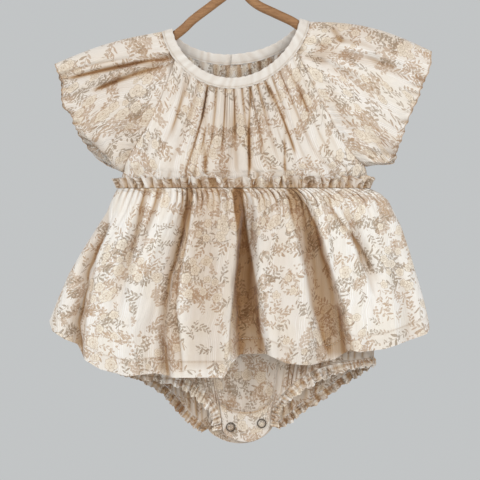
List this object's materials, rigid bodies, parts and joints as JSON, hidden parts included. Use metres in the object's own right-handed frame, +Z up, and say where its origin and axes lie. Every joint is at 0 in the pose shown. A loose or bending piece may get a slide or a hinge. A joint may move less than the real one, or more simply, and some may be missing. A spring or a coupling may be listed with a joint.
{
  "type": "baby bubble romper on a wooden hanger",
  "caption": "Gauze baby romper with flutter sleeves, a gathered neck, a frilled waist, an overskirt and bubble bloomers, hanging flat on a slim wooden hanger.",
  "frame": {"origin": "inside top of the hanger's hook, where a rail carries it", "axes": "+Z up, +X to the right as the front is seen, -Y towards whoever looks at the front"},
  "size_m": [0.3854, 0.0624, 0.5246],
  "materials": {
    "print": "cream cotton double gauze, crinkled, with a tan flower and leaf print",
    "binding": "plain off-white cotton bias binding",
    "snap": "dull antique metal ring",
    "wood": "light brown wood, clear satin",
    "hook": "bent steel wire"
  },
  "bodies": {
    "root": {"neck_binding": "binding", "bodice_front": "print", "bodice_back": "print", "back_placket": "print", "sleeve_left": "print", "sleeve_right": "print", "waist_frill": "print", "skirt_front": "print", "skirt_back": "print", "bloomer_front": "print", "bloomer_back": "print", "leg_band_left": "print", "leg_band_right": "print", "crotch_placket": "print", "snap_left": "snap", "snap_right": "snap", "hanger_arms": "wood", "hanger_hook": "hook"}
  },
  "joints": []
}
